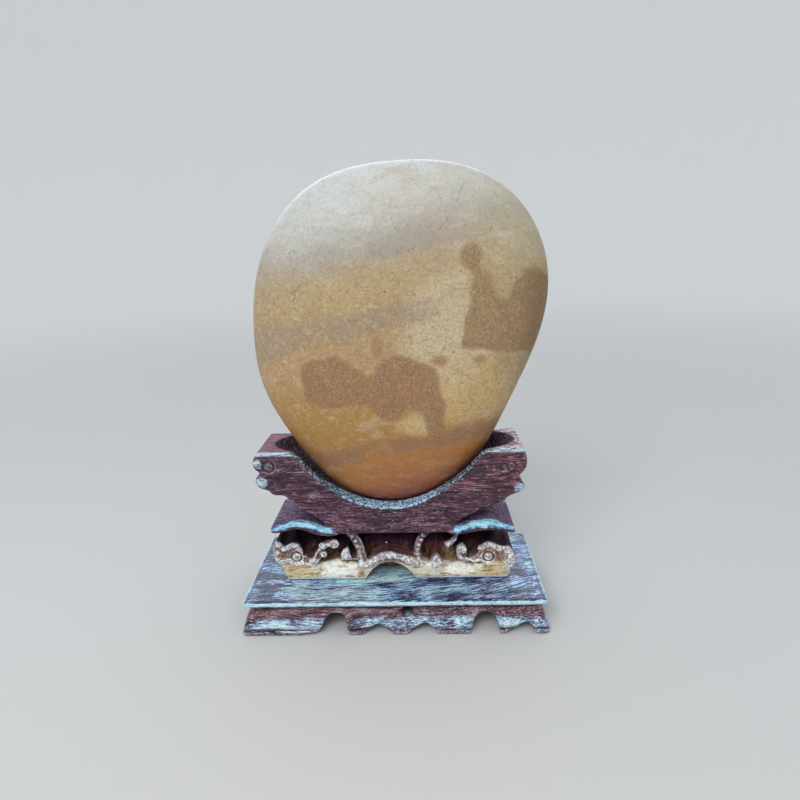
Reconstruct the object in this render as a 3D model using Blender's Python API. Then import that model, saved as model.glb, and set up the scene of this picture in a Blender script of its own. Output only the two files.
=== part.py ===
"""A river cobble shown upright on a carved hardwood stand.

Three pieces, none of them fastened:
  stone          the egg-shaped, flattened cobble, standing in the stand's pocket
  carved_cradle  the upper half of the stand, carved from one block: a boat-shaped cradle with two
                 horns, two rolled shoulders and an openwork waist of animal heads and bands
  base           the lower half: a plate with a hollow moulding above a scalloped apron on feet

+Z is up, the front faces -Y, and the origin is at the bottom centre, on the surface it stands on.
Outlines are (x, z) points in millimetres, as seen from the front.
"""

import math

import bmesh
import bpy
import numpy as np
from mathutils import Matrix, Vector

MM = 0.001
FIT_GAP = 0.3  # mm between pieces that rest on each other

# --- stone -------------------------------------------------------------------------------------
STONE_CENTRE_X = 5.0
STONE_CENTRE_Z = 143.0
STONE_HALF_THICKNESS = 21.0
# Distance from the centre to the outline, every 22.5 degrees from +X towards +Z.
STONE_RADII = (67.5, 76.0, 81.5, 81.0, 77.5, 78.0, 76.0, 71.5,
               69.5, 71.5, 75.0, 84.0, 86.5, 78.0, 67.0, 63.0)
STONE_FLATNESS = 2.7  # 2 is an ellipsoid's rim, more gives flatter faces and a blunter rim
STONE_SEGMENTS = 64
STONE_RINGS = 24

# --- base --------------------------------------------------------------------------------------
BASE_HALF_WIDTH = 75.0
BASE_HALF_DEPTH = 34.0
BASE_TOP = 17.7
BASE_CORNER_RADIUS = 2.5
# Moulding, from the feet up: (height, how far it stands out from the plate's edge).
BASE_MOULDING = (
    (0.0, 0.7),
    (1.2, 1.2),
    (4.7, 0.0),
    (10.5, -2.0),
    (11.4, -3.6),
    (13.2, -4.2),
    (14.5, -2.8),
    (15.1, -0.7),
    (16.2, 0.0),
    (17.2, -0.3),
    (BASE_TOP, -1.2),
)
HOLLOW_HALF_WIDTH = 67.0
HOLLOW_HALF_DEPTH = 26.5
HOLLOW_TOP = 12.0
APRON_HOLE_X = 6.1
APRON_HOLE_Z = 10.6
APRON_HOLE_RADII = (3.0, 1.8)

# --- carved block ------------------------------------------------------------------------------
WAIST_BOTTOM = BASE_TOP + FIT_GAP
WAIST_HALF_DEPTH = 14.5
CORE_HALF_WIDTH = 52.0
CORE_HALF_DEPTH = 4.0
CORE_TOP = 48.0
SHOULDER_HALF_DEPTH = 17.4
CRADLE_HALF_DEPTH = 15.7
CRADLE_TOP = 89.0
POCKET_SIDE_GAP = 1.0  # between the stone's faces and the pocket's lips
POCKET_HORN_REACH = 11.5  # how far past the stone the pocket runs out into each horn
POCKET_HORN_ANGLE = 47.0  # direction of the horns' tips below the horizontal, from the stone's centre
POCKET_HORN_SPREAD = 17.0  # degrees over which that reach dies away

OUTLINE_STEPS = 3  # straight pieces between two points of a curved outline
CARVING_STEPS = 2  # the same, in the small carving of the waist


def clear_scene():
    for old in list(bpy.data.objects):
        bpy.data.objects.remove(old, do_unlink=True)


def new_collection(name):
    collection = bpy.data.collections.new(name)
    bpy.context.scene.collection.children.link(collection)
    return collection


def material(name, colour, roughness):
    made = bpy.data.materials.new(name)
    made.use_nodes = True
    shader = made.node_tree.nodes["Principled BSDF"]
    shader.inputs["Base Color"].default_value = (*colour, 1.0)
    shader.inputs["Roughness"].default_value = roughness
    shader.inputs["Metallic"].default_value = 0.0
    return made


def mesh_object(name, bm, collection):
    bmesh.ops.recalc_face_normals(bm, faces=bm.faces)
    mesh = bpy.data.meshes.new(name)
    bm.to_mesh(mesh)
    bm.free()
    made = bpy.data.objects.new(name, mesh)
    collection.objects.link(made)
    return made


def hide_as_tool(tool):
    """Keeps a shape that only cuts or joins others out of the finished object."""
    tool.hide_render = True
    tool.display_type = "WIRE"
    return tool


def boolean(target, tool, operation):
    modifier = target.modifiers.new(f"{operation.lower()}_{tool.name}", "BOOLEAN")
    modifier.object = hide_as_tool(tool)
    modifier.operation = operation
    modifier.solver = "EXACT"


# --- flat outlines -----------------------------------------------------------------------------
def slab(name, points, collection, half_depth, corners=(), centre=0.0, facing="front", steps=OUTLINE_STEPS):
    """A closed outline with thickness. corners lists the points where the outline turns sharply.

    facing "front" reads the points as (x, z) and gives depth along Y; "side" reads them as (y, z)
    and gives depth along X. centre is the middle of the depth.
    """
    curve = bpy.data.curves.new(name, "CURVE")
    curve.dimensions = "2D"
    curve.fill_mode = "BOTH"
    curve.extrude = half_depth * MM
    spline = curve.splines.new("BEZIER")
    spline.bezier_points.add(len(points) - 1)
    for index, (across, height) in enumerate(points):
        point = spline.bezier_points[index]
        point.co = (across * MM, height * MM, 0.0)
        handle = "VECTOR" if index in corners else "AUTO"
        point.handle_left_type = handle
        point.handle_right_type = handle
    spline.use_cyclic_u = True
    spline.resolution_u = steps
    drawn = bpy.data.objects.new(name, curve)
    collection.objects.link(drawn)
    upright = Matrix.Rotation(math.radians(90.0), 4, "X")
    if facing == "side":
        place = Matrix.Translation((centre * MM, 0.0, 0.0)) @ Matrix.Rotation(math.radians(90.0), 4, "Z")
    else:
        place = Matrix.Translation((0.0, centre * MM, 0.0))
    drawn.matrix_world = place @ upright
    return solid_from_curve(drawn, collection)


def solid_from_curve(drawn, collection):
    """Replaces a curve by its own mesh with the caps welded on, so that booleans can use it."""
    bpy.context.view_layer.update()
    evaluated = drawn.evaluated_get(bpy.context.evaluated_depsgraph_get())
    mesh = bpy.data.meshes.new_from_object(evaluated)
    mesh.transform(drawn.matrix_world)
    name = drawn.name
    bpy.data.objects.remove(drawn, do_unlink=True)
    bm = bmesh.new()
    bm.from_mesh(mesh)
    bpy.data.meshes.remove(mesh)
    bmesh.ops.remove_doubles(bm, verts=bm.verts, dist=0.01 * MM)
    return mesh_object(name, bm, collection)


def corners_at(sharp, outline):
    """Which points of an outline are among its sharp ones."""
    return [index for index, point in enumerate(outline) if point in sharp]


def band(name, centreline, width, collection, half_depth):
    """A carved strap of even width along a centreline, as a slab with its own outline."""
    path = [Vector(point) for point in centreline]
    left, right = [], []
    for index, point in enumerate(path):
        ahead = path[min(index + 1, len(path) - 1)]
        behind = path[max(index - 1, 0)]
        along = (ahead - behind).normalized()
        side = Vector((-along.y, along.x)) * (width / 2)
        left.append(tuple(point + side))
        right.append(tuple(point - side))
    return slab(name, left + right[::-1], collection, half_depth, steps=CARVING_STEPS)


# --- stone -------------------------------------------------------------------------------------
def stone_radius(angle):
    """The outline's radius at an angle: the smooth closed curve through STONE_RADII."""
    waves = np.fft.rfft(STONE_RADII) / len(STONE_RADII)
    radius = waves[0].real
    for order, wave in enumerate(waves[1:], start=1):
        share = 1.0 if 2 * order == len(STONE_RADII) else 2.0
        radius += share * (wave * np.exp(1j * order * angle)).real
    return radius


def horn_reach(angle):
    """How much further than the stone the pocket reaches, in a direction from the stone's centre."""
    below = math.degrees(math.asin(min(1.0, max(-1.0, -math.sin(angle)))))
    return POCKET_HORN_REACH * math.exp(-(((below - POCKET_HORN_ANGLE) / POCKET_HORN_SPREAD) ** 2))


def cobble(name, collection, side_gap=0.0, end_gap=0.0, horns=False):
    """A flattened egg with its poles at the middle of its two faces.

    The gaps make it larger, for the pocket, on the same facets as the stone's own.
    """
    bm = bmesh.new()
    bmesh.ops.create_uvsphere(bm, u_segments=STONE_SEGMENTS, v_segments=STONE_RINGS, radius=1.0)
    half_thickness = STONE_HALF_THICKNESS + side_gap
    for vert in bm.verts:
        angle = math.atan2(vert.co.y, vert.co.x)
        outward = min(1.0, math.hypot(vert.co.x, vert.co.y))
        radius = stone_radius(angle) + end_gap + (horn_reach(angle) if horns else 0.0)
        rise = math.sqrt(max(0.0, 1.0 - outward ** STONE_FLATNESS))
        x = STONE_CENTRE_X + radius * outward * math.cos(angle)
        y = -math.copysign(half_thickness * rise, vert.co.z)
        z = STONE_CENTRE_Z + radius * outward * math.sin(angle)
        vert.co = Vector((x, y, z)) * MM
    made = mesh_object(name, bm, collection)
    made.data.shade_smooth()
    return made


# --- base --------------------------------------------------------------------------------------
def rounded_rectangle(half_width, half_depth, radius, corner_points=4):
    ring = []
    for quarter in range(4):
        sign_x = 1 if quarter in (0, 3) else -1
        sign_y = 1 if quarter in (0, 1) else -1
        for step in range(corner_points):
            turn = math.radians(90.0 * (quarter + step / (corner_points - 1)))
            ring.append((
                sign_x * (half_width - radius) + radius * math.cos(turn),
                sign_y * (half_depth - radius) + radius * math.sin(turn),
            ))
    return ring


def moulded_block(name, collection):
    """The base's outside: rounded rectangles, one above the other, following the moulding."""
    bm = bmesh.new()
    rings = []
    for height, out in BASE_MOULDING:
        outline = rounded_rectangle(BASE_HALF_WIDTH + out, BASE_HALF_DEPTH + out, BASE_CORNER_RADIUS)
        rings.append([bm.verts.new((x * MM, y * MM, height * MM)) for x, y in outline])
    for lower, upper in zip(rings, rings[1:]):
        for index in range(len(lower)):
            following = (index + 1) % len(lower)
            bm.faces.new((lower[index], lower[following], upper[following], upper[index]))
    bm.faces.new(rings[0][::-1])
    bm.faces.new(rings[-1])
    return mesh_object(name, bm, collection)


def box(name, low, high, collection):
    bm = bmesh.new()
    bmesh.ops.create_cube(bm, size=1.0)
    size = Vector(high) - Vector(low)
    middle = (Vector(high) + Vector(low)) / 2
    bmesh.ops.scale(bm, vec=size * MM, verts=bm.verts)
    bmesh.ops.translate(bm, vec=middle * MM, verts=bm.verts)
    return mesh_object(name, bm, collection)


def cut_front_scallops(base, tools):
    """The openings between the feet, the same in the front apron and the back one."""
    below = -2.0  # starts under the feet
    openings = (
        ("left_arch", ((-47.4, below), (-45.4, 0.5), (-39.6, 1.4), (-36.2, 3.2), (-34.2, 7.6),
                       (-31.6, 9.7), (-28.0, 10.2), (-25.6, 9.4), (-24.3, 6.6), (-23.5, 1.5),
                       (-22.6, below))),
        ("left_scallop", ((-16.8, below), (-15.2, 0.6), (-12.2, 2.9), (-8.2, 5.0), (-4.2, 3.2), (-1.4, 0.7),
                          (-0.2, below))),
        ("right_scallop", ((5.2, below), (6.6, 0.7), (8.8, 2.5), (12.0, 4.6), (14.8, 5.3), (17.6, 4.3),
                           (19.2, 2.3), (22.2, below))),
        ("right_arch", ((36.2, below), (37.4, 1.2), (38.3, 3.6), (39.4, 7.2), (41.2, 9.5), (44.6, 10.2),
                        (47.8, 9.4), (49.6, 7.0), (50.8, 3.0), (51.6, below))),
        ("end_scallop", ((53.2, below), (54.6, 0.8), (57.6, 2.6), (61.2, 4.4), (64.0, 5.3), (66.0, 4.5),
                         (67.4, 2.3), (69.2, below))),
    )
    wall = BASE_HALF_DEPTH - HOLLOW_HALF_DEPTH
    for side in (-1, 1):
        for label, outline in openings:
            where = "front" if side < 0 else "back"
            cutter = slab(f"{where}_{label}", outline, tools, half_depth=wall, corners=(0, len(outline) - 1),
                          centre=side * (BASE_HALF_DEPTH - wall / 2))
            boolean(base, cutter, "DIFFERENCE")


def cut_side_scallops(base, tools):
    """Two arches with a drop between them in each end apron."""
    below = -2.0
    half_arch = ((-22.4, below), (-20.6, 2.0), (-18.6, 6.4), (-15.0, 8.6), (-11.4, 7.8), (-8.6, 4.4),
                 (-5.2, 2.0), (-2.6, below))
    wall = BASE_HALF_WIDTH - HOLLOW_HALF_WIDTH
    for side in (-1, 1):
        for mirror in (-1, 1):
            outline = [(across * mirror, height) for across, height in half_arch]
            cutter = slab(f"end_arch_{side}_{mirror}", outline, tools, half_depth=wall,
                          corners=(0, len(outline) - 1), centre=side * (BASE_HALF_WIDTH - wall / 2),
                          facing="side")
            boolean(base, cutter, "DIFFERENCE")


def cut_apron_hole(base, tools):
    """The small oval hole pierced through the front and back aprons under the plate's edge."""
    wall = BASE_HALF_DEPTH - HOLLOW_HALF_DEPTH
    for side in (-1, 1):
        bm = bmesh.new()
        bmesh.ops.create_cone(bm, segments=16, cap_ends=True, radius1=1.0, radius2=1.0, depth=2 * wall)
        bmesh.ops.rotate(bm, matrix=Matrix.Rotation(math.radians(90.0), 3, "X"), verts=bm.verts)
        bmesh.ops.scale(bm, vec=(APRON_HOLE_RADII[0], 1.0, APRON_HOLE_RADII[1]), verts=bm.verts)
        bmesh.ops.translate(bm, vec=(APRON_HOLE_X, side * BASE_HALF_DEPTH, APRON_HOLE_Z), verts=bm.verts)
        bmesh.ops.scale(bm, vec=(MM, MM, MM), verts=bm.verts)
        where = "front" if side < 0 else "back"
        boolean(base, mesh_object(f"{where}_apron_hole", bm, tools), "DIFFERENCE")


def make_base(collection, tools):
    base = moulded_block("base", collection)
    hollow = box("base_hollow", (-HOLLOW_HALF_WIDTH, -HOLLOW_HALF_DEPTH, -2.0),
                 (HOLLOW_HALF_WIDTH, HOLLOW_HALF_DEPTH, HOLLOW_TOP), tools)
    boolean(base, hollow, "DIFFERENCE")
    cut_front_scallops(base, tools)
    cut_side_scallops(base, tools)
    cut_apron_hole(base, tools)
    return base


# --- carved block ------------------------------------------------------------------------------
def cradle_block(name, collection):
    """The boat: two horns with a lobed outer end, joined by a crescent that follows the stone."""
    left_horn = ((-64.7, CRADLE_TOP), (-66.9, 86.3), (-67.7, 83.2), (-66.6, 80.2), (-63.6, 78.0),
                 (-66.1, 76.6), (-67.0, 73.8), (-65.8, 71.0), (-63.2, 69.7), (-60.8, 68.9), (-59.4, 67.0),
                 (-57.3, 66.2), (-54.3, 66.3), (-51.9, 64.8))
    left_flank = ((-49.2, 61.3), (-42.1, 56.4), (-38.0, 53.8), (-35.3, 51.2), (-33.0, 48.4), (-31.3, 44.6))
    right_flank = ((29.3, 44.6), (31.8, 49.5), (34.6, 52.0), (43.1, 56.5), (52.8, 60.6))
    right_horn = ((55.4, 61.8), (57.0, 63.9), (60.0, 65.1), (62.9, 66.5), (64.1, 69.0), (63.6, 72.0),
                  (62.1, 75.0), (64.3, 77.0), (65.6, 79.4), (65.9, 82.4), (65.3, 85.4), (64.1, CRADLE_TOP))
    seat = ((47.8, CRADLE_TOP), (44.6, 87.9), (41.6, 84.8), (36.0, 77.9), (28.5, 71.3), (18.7, 64.6),
            (8.7, 60.5), (0.0, 59.2), (-9.0, 59.9), (-20.7, 64.0), (-30.2, 70.3), (-39.4, 79.2),
            (-44.6, 86.6), (-47.9, CRADLE_TOP))
    outline = left_horn + left_flank + right_flank + right_horn + seat
    lobe_notches = ((-63.6, 78.0), (62.1, 75.0))
    sharp = (left_horn[0], left_flank[-1], right_flank[0], right_horn[-1], seat[0], seat[-1], *lobe_notches)
    return slab(name, outline, collection, CRADLE_HALF_DEPTH, corners_at(sharp, outline))


def shoulders(tools):
    """The two rolled shoulders that stick out under the cradle, one wave of thick lip on each side."""
    left = ((-27.0, 46.0), (-31.5, 47.8), (-34.0, 48.2), (-38.0, 50.2), (-42.5, 51.9), (-47.0, 52.7),
            (-51.0, 52.1), (-54.2, 50.4), (-58.0, 50.0), (-61.0, 49.8), (-61.9, 47.6), (-60.6, 46.2),
            (-56.6, 46.7), (-52.5, 47.6), (-48.0, 48.4), (-43.5, 47.0), (-39.1, 45.3), (-34.6, 44.4),
            (-28.0, 44.8))
    right = ((27.0, 46.0), (31.2, 47.9), (34.1, 49.4), (39.0, 50.4), (44.0, 51.2), (47.8, 51.7), (51.3, 50.9),
             (54.6, 48.8), (58.4, 47.6), (60.6, 46.9), (60.8, 44.9), (57.5, 44.9), (52.8, 45.9),
             (47.9, 46.3), (43.0, 46.0), (38.1, 45.1), (33.0, 44.3), (28.0, 44.8))
    return [
        slab("left_shoulder", left, tools, SHOULDER_HALF_DEPTH, steps=CARVING_STEPS),
        slab("right_shoulder", right, tools, SHOULDER_HALF_DEPTH + 0.1, steps=CARVING_STEPS),
    ]


def waist_rail(tools):
    """The rail that the waist stands on, with the arch in its middle."""
    top = ((-57.4, 23.6), (-53.0, 26.2), (-40.0, 26.2), (-33.2, 27.0), (-26.4, 28.6), (-20.0, 29.2),
           (-14.6, 27.6), (-11.8, 29.3), (-8.6, 31.6), (-4.5, 33.2), (-0.6, 32.5), (4.0, 31.3), (9.0, 30.0),
           (14.2, 28.2), (18.4, 26.2), (24.5, 25.8), (35.0, 25.5), (50.0, 25.6), (59.2, 24.4))
    bottom = ((57.7, WAIST_BOTTOM), (10.4, WAIST_BOTTOM))
    arch = ((8.9, 20.6), (6.2, 23.6), (2.7, 26.2), (-1.5, 27.5), (-5.0, 27.3), (-8.6, 25.7), (-11.8, 22.9),
            (-13.8, 19.9))
    foot = ((-14.8, WAIST_BOTTOM), (-55.5, WAIST_BOTTOM))
    outline = top + bottom + arch + foot
    corners = corners_at(bottom + foot, outline)
    return slab("waist_rail", outline, tools, WAIST_HALF_DEPTH, corners, steps=CARVING_STEPS)


def waist_heads(tools):
    """The animal head at each end of the waist, snout inwards, its brow and crest in the outline."""
    left = ((-59.4, 27.2), (-61.7, 30.8), (-62.0, 34.6), (-61.4, 38.2), (-59.6, 40.0), (-57.6, 38.2),
            (-56.0, 36.8), (-54.2, 38.2), (-51.4, 39.3), (-48.8, 38.6), (-47.2, 35.4), (-46.5, 31.6),
            (-46.0, 27.4), (-49.0, 24.6), (-56.4, 24.2))
    right = ((43.9, 35.4), (45.6, 37.4), (48.4, 38.2), (51.0, 36.9), (52.8, 35.0), (55.2, 34.5), (57.6, 36.0),
             (59.5, 34.1), (61.0, 31.0), (61.6, 27.4), (60.4, 24.2), (56.5, 22.6), (48.0, 24.0),
             (43.6, 28.2), (43.0, 32.0))
    return [
        slab("left_head", left, tools, WAIST_HALF_DEPTH + 0.5, steps=CARVING_STEPS),
        slab("right_head", right, tools, WAIST_HALF_DEPTH + 0.6, steps=CARVING_STEPS),
    ]


def waist_scrolls(tools):
    """The bands, curls and drops between the heads and the two straps that carry the cradle."""
    bands = (
        ("left_snout_band", ((-46.8, 31.0), (-43.4, 27.6), (-40.4, 29.4), (-38.0, 33.0), (-36.6, 36.8),
                             (-33.8, 38.3), (-30.4, 38.4)), 3.6),
        ("right_snout_band", ((33.0, 31.0), (36.0, 27.9), (39.8, 27.6), (42.9, 30.4), (45.4, 34.0)), 3.4),
        ("left_strap", ((-23.4, 47.2), (-20.4, 42.2), (-18.0, 37.0), (-17.1, 32.4), (-16.6, 27.4)), 4.7),
        ("right_strap", ((18.4, 47.2), (14.2, 41.6), (12.3, 37.4), (11.7, 33.6), (12.0, 27.4)), 3.6),
        ("shoulder_hook", ((31.4, 46.8), (31.0, 41.4), (29.2, 38.0), (25.8, 36.5)), 2.8),
    )
    lobes = (
        ("left_curl", ((-33.4, 38.6), (-31.8, 40.8), (-29.4, 40.6), (-28.2, 38.4), (-29.2, 36.2),
                       (-31.8, 35.8))),
        ("left_drop", ((-26.7, 27.0), (-26.6, 32.4), (-25.3, 35.3), (-23.8, 36.2), (-22.8, 34.2),
                       (-22.5, 31.2), (-22.2, 27.0))),
        ("right_curl", ((31.2, 33.4), (32.2, 36.5), (34.4, 37.6), (36.4, 36.4), (37.1, 33.6), (36.2, 29.8),
                        (33.6, 28.2), (31.8, 30.4))),
        ("right_drop", ((19.0, 24.6), (19.5, 29.6), (21.5, 31.9), (23.4, 29.8), (24.0, 24.6))),
    )
    made = []
    for index, (name, centreline, width) in enumerate(bands):
        made.append(band(name, centreline, width, tools, WAIST_HALF_DEPTH - 0.3 - 0.1 * index))
    for index, (name, outline) in enumerate(lobes):
        made.append(slab(name, outline, tools, WAIST_HALF_DEPTH + 0.2 + 0.1 * index, steps=CARVING_STEPS))
    return made


def make_carved_cradle(collection, tools):
    """One block: cradle, shoulders and waist are joined, then the stone's pocket is sunk into it."""
    carved = cradle_block("carved_cradle", collection)
    core = box("waist_core", (-CORE_HALF_WIDTH, -CORE_HALF_DEPTH, WAIST_BOTTOM + 0.5),
               (CORE_HALF_WIDTH, CORE_HALF_DEPTH, CORE_TOP), tools)
    joined = [core, waist_rail(tools), *shoulders(tools), *waist_heads(tools), *waist_scrolls(tools)]
    for shape in joined:
        boolean(carved, shape, "UNION")
    pocket = cobble("stone_pocket", tools, side_gap=POCKET_SIDE_GAP, end_gap=FIT_GAP, horns=True)
    boolean(carved, pocket, "DIFFERENCE")
    return carved


def main():
    clear_scene()
    parts = new_collection("cobble_on_stand")
    tools = new_collection("cutters")
    stone = cobble("stone", parts)
    carved = make_carved_cradle(parts, tools)
    base = make_base(parts, tools)
    stone.data.materials.append(material("river_stone", (0.38, 0.28, 0.17), 0.55))
    carved.data.materials.append(material("dark_hardwood", (0.075, 0.035, 0.04), 0.35))
    base.data.materials.append(material("dark_hardwood_base", (0.08, 0.045, 0.05), 0.35))


main()
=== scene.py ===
"""How the scholar's rock and its carved stand look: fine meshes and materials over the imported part."""

import math
from types import SimpleNamespace

import bmesh
import bpy
import numpy as np
from mathutils import Matrix, Vector


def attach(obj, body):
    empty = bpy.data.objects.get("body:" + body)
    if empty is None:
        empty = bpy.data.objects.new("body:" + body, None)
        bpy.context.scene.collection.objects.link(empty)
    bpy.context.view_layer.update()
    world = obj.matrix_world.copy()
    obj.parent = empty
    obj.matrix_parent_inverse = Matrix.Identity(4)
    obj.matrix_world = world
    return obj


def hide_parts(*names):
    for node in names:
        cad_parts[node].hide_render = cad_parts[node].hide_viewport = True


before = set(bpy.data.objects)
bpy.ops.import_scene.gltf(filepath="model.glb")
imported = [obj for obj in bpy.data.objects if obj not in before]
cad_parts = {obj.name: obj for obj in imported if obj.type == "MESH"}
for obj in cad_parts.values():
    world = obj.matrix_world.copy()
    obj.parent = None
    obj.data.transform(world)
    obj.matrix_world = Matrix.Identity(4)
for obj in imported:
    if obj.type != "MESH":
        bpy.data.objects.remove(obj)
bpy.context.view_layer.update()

MM = 0.001  # lengths are in mm up to the stage, where they are in metres

# --- stone's measures ---
STONE_CENTRE_X = 5
STONE_CENTRE_Z = 143
STONE_HALF_THICKNESS = 21
STONE_FLATNESS = 2.7  # power of the curve from the stone's rim to its faces; 2 would be an ellipse
STONE_RADII = (67.5, 76, 81.5, 81, 77.5, 78, 76, 71.5,
               69.5, 71.5, 75, 84, 86.5, 78, 67, 63)  # every 22.5 degrees from +X
STONE_PATCH = 118  # quads along the side of each of the six patches it is made from
STONE_WELD = 0.02  # points of two patches closer than this become one
STONE_DENT_DEPTH = 0.34
STONE_PIT_DEPTH = 0.16

# --- wood's measures ---
CRADLE_VOXEL = 0.44
BASE_VOXEL = 0.62
CRADLE_TRIANGLES = 192000
BASE_TRIANGLES = 180000
CRADLE_FACE_Y = 15.7
WAIST_FACE_Y = 14.8
WAIST_TOP = 47
BASE_HALF = (75, 34)
PLATE_HALF = (73.9, 32.9)  # to the middle of the plate's rounded edge
LEDGE_Y = 31.2
LEDGE_RADIUS = 0.62
RING_LEFT = (-59.8, 81.7)  # x, z
RING_RIGHT = (58.3, 79.6)
RING_RADIUS = 2.7
LOBE_Y = 13.5
LIP_Y = 16.1
LIP_RADIUS = 1.45
LIP_LIFTS = ((-1, 0.6), (1, -0.2))  # which shoulder, how much higher its lip lies
POCKET_GAP = 1
HORN_REACH = 11.5  # how far past the stone the pocket runs out into each horn
HORN_ANGLE = 47  # where that is, in degrees below the stone's middle
HORN_SPREAD = 17
RIM_PATH = (  # top edge of the cradle under the stone, as (x, z)
    (46.4, 88.6), (44.6, 87.6), (41.6, 84.6), (36, 77.8), (28.5, 71.2), (18.7, 64.6), (8.7, 60.4),
    (0, 59.1), (-9, 59.8), (-20.7, 63.9), (-30.2, 70.2), (-39.4, 79), (-44.6, 86.4), (-46.4, 88.4),
)
RAIL_CUTS = ((-38.6, -18.4, 27.2, 20.6), (25.4, 40.4, 25.8, 20.4))  # left, right, top, bottom
RAIL_CUT_DEPTH = 4.6
LEDGES = (  # thin raised lines on the base's moulding, as (x, z)
    ((-47.5, 10.6), (-42, 11.3), (-34, 11.5), (-26, 11.2), (-21, 10.4)),
    ((38.6, 10.2), (42, 11), (48, 11.2), (54, 10.8), (57.4, 10)),
)
RIDGES = (  # raised lines of the waist's carving: path as (x, z), half width
    (((-61.4, 38), (-59.4, 39.4), (-57.4, 37.6), (-55.8, 36.2), (-53.4, 37.8), (-50.4, 38.2),
      (-48.2, 36.6), (-47.4, 33.8)), 1.15),
    (((-61, 33.4), (-60.4, 30.2), (-57.6, 29), (-54, 29.8), (-51, 28), (-48, 28.4)), 0.95),
    (((-48, 28.4), (-45.2, 27.2), (-42, 27.6), (-39.2, 29.6)), 1.15),
    (((-41.8, 29.6), (-40.4, 31.8), (-39.4, 34.4), (-36.4, 36.8)), 0.75),
    (((-35.4, 37.4), (-32.6, 38.6), (-30.4, 39.4)), 0.9),
    (((-26.4, 29.8), (-25.9, 32.8), (-24.8, 35.4)), 1.3),
    (((-22.2, 29.6), (-22.8, 31.8), (-24.2, 33.8)), 0.8),
    (((-18.6, 26.8), (-15.2, 26.4), (-11.6, 28.2), (-8, 30.4), (-4.4, 31.6), (-0.6, 31.7), (4, 30.4),
      (8.4, 28.6), (12.4, 27)), 1.9),
    (((42.4, 34.2), (44.4, 36.2), (47.4, 37.4), (50.8, 36.8), (53.8, 35.2), (56.8, 34.6)), 1.3),
    (((57.2, 33.4), (59.2, 31.2), (59.9, 28.4), (59.2, 25.6), (57, 23.6)), 1.3),
    (((37.6, 29.2), (40.6, 27.6), (43.4, 28.4), (46.2, 27.2), (50.6, 27.4)), 0.8),
    (((32.4, 33), (32.9, 30.8), (34.6, 29.2), (37.2, 28.9)), 0.9),
    (((19.6, 25.4), (20.2, 28.4), (21.8, 30.6)), 0.75),
    (((23.7, 25), (23.6, 27.8), (22.3, 30.4)), 0.8),
    (((31.6, 45), (31.2, 41.8), (29.6, 39), (26.6, 37.4)), 0.95),
)
KNOBS = (  # x, z, radius
    (-30.2, 38.9, 2.6), (-35.9, 32.9, 1.9), (34.4, 34.6, 2.6), (27, 37.2, 1.4), (57.6, 28, 3),
    (-36.4, 37.7, 2.2), (-42.2, 29.4, 1.9),
    (-24.4, 31, 1.6), (-3.8, 39.4, 0.8), (-3.8, 37.2, 0.6), (56.6, 24.4, 2), (-59.6, 34.6, 1.6),
)
LOBES = (  # knobs at the horns' ends: x, z, radius, how strongly a painted highlight covers them
    (-63.7, 73.8, 3.3, 1), (-64.9, 83.4, 3.1, 0.66), (61.7, 68.9, 3.3, 0.7),
)
SPIRALS = ((-30.2, 38.9, 1.3), (-35.9, 32.9, 1), (34.4, 34.6, 1.4))  # x, z, radius of their groove
EYES = ((-50, 31.8, 1.5), (47.6, 30.6, 1.45))  # x, z, radius
STRAP_BEADS = (  # x, z
    (-22.6, 45.6), (-20.9, 42.8), (-19.4, 40), (-18.3, 37.2), (-17.6, 34.4), (-17.2, 31.6), (-16.8, 28.8),
    (17, 45.4), (15.1, 42.8), (13.6, 40.2), (12.6, 37.6), (12, 35), (11.8, 32.4), (11.9, 29.8),
)
SHOULDER_LIP = (  # x, z on the right shoulder
    (32.4, 46), (36.2, 46.9), (40.6, 48.5), (45, 49.7), (48.8, 49.9), (53, 48.9), (57.6, 47.6),
    (60.2, 46.8),
)


# --- helpers ---
HASH_PRIMES = (73856093, 19349663, 83492791)
HASH_MIXER = 1274126177
SEED_SHIFT = 17.31


def lattice_noise(points, size, seed):
    """Smooth noise in -1..1 at points (n, 3); size is the length of one lump."""
    scaled = points / size + seed * SEED_SHIFT
    cell = np.floor(scaled).astype(np.int64)
    part = scaled - cell
    ease = part * part * part * (part * (part * 6 - 15) + 10)
    total = np.zeros(len(points))
    for corner in np.ndindex(2, 2, 2):
        mixed = np.bitwise_xor.reduce((cell + corner) * HASH_PRIMES, axis=1)
        mixed = (mixed ^ (mixed >> 13)) * HASH_MIXER
        value = ((mixed ^ (mixed >> 16)) & 0xFFFF) / 32767.5 - 1
        total += value * np.prod(np.where(corner, ease, 1 - ease), axis=1)
    return total


def noise_share(points, size, seed, squeeze=(1, 1, 1)):
    """Noise in 0..1; a squeeze under 1 draws its lumps out along that axis."""
    return 0.5 + 0.5 * lattice_noise(points * squeeze, size, seed)


def smoothstep(values, low, high):
    """0 at low, 1 at high and smooth between; low may be the larger."""
    share = np.clip((values - low) / (high - low), 0, 1)
    return share * share * (3 - 2 * share)


def add_object(name, data):
    made = bpy.data.objects.new(name, data)
    bpy.context.scene.collection.objects.link(made)
    return made


def add_mesh(name, vertices, faces):
    """vertices in metres."""
    mesh = bpy.data.meshes.new(name)
    mesh.from_pydata(vertices, [], faces)
    return add_object(name, mesh)


def read_vertices(mesh, what):
    flat = np.empty(len(mesh.vertices) * 3)
    mesh.vertices.foreach_get(what, flat)
    return flat.reshape(-1, 3)


def read_points(mesh):
    return read_vertices(mesh, "co") / MM


def read_normals(mesh):
    return read_vertices(mesh, "normal")


def write_points(mesh, points):
    mesh.vertices.foreach_set("co", (points * MM).ravel())
    mesh.update()


def cut_in(mesh, depth):
    """Moves every vertex inwards."""
    write_points(mesh, read_points(mesh) - read_normals(mesh) * depth[:, None])


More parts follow.
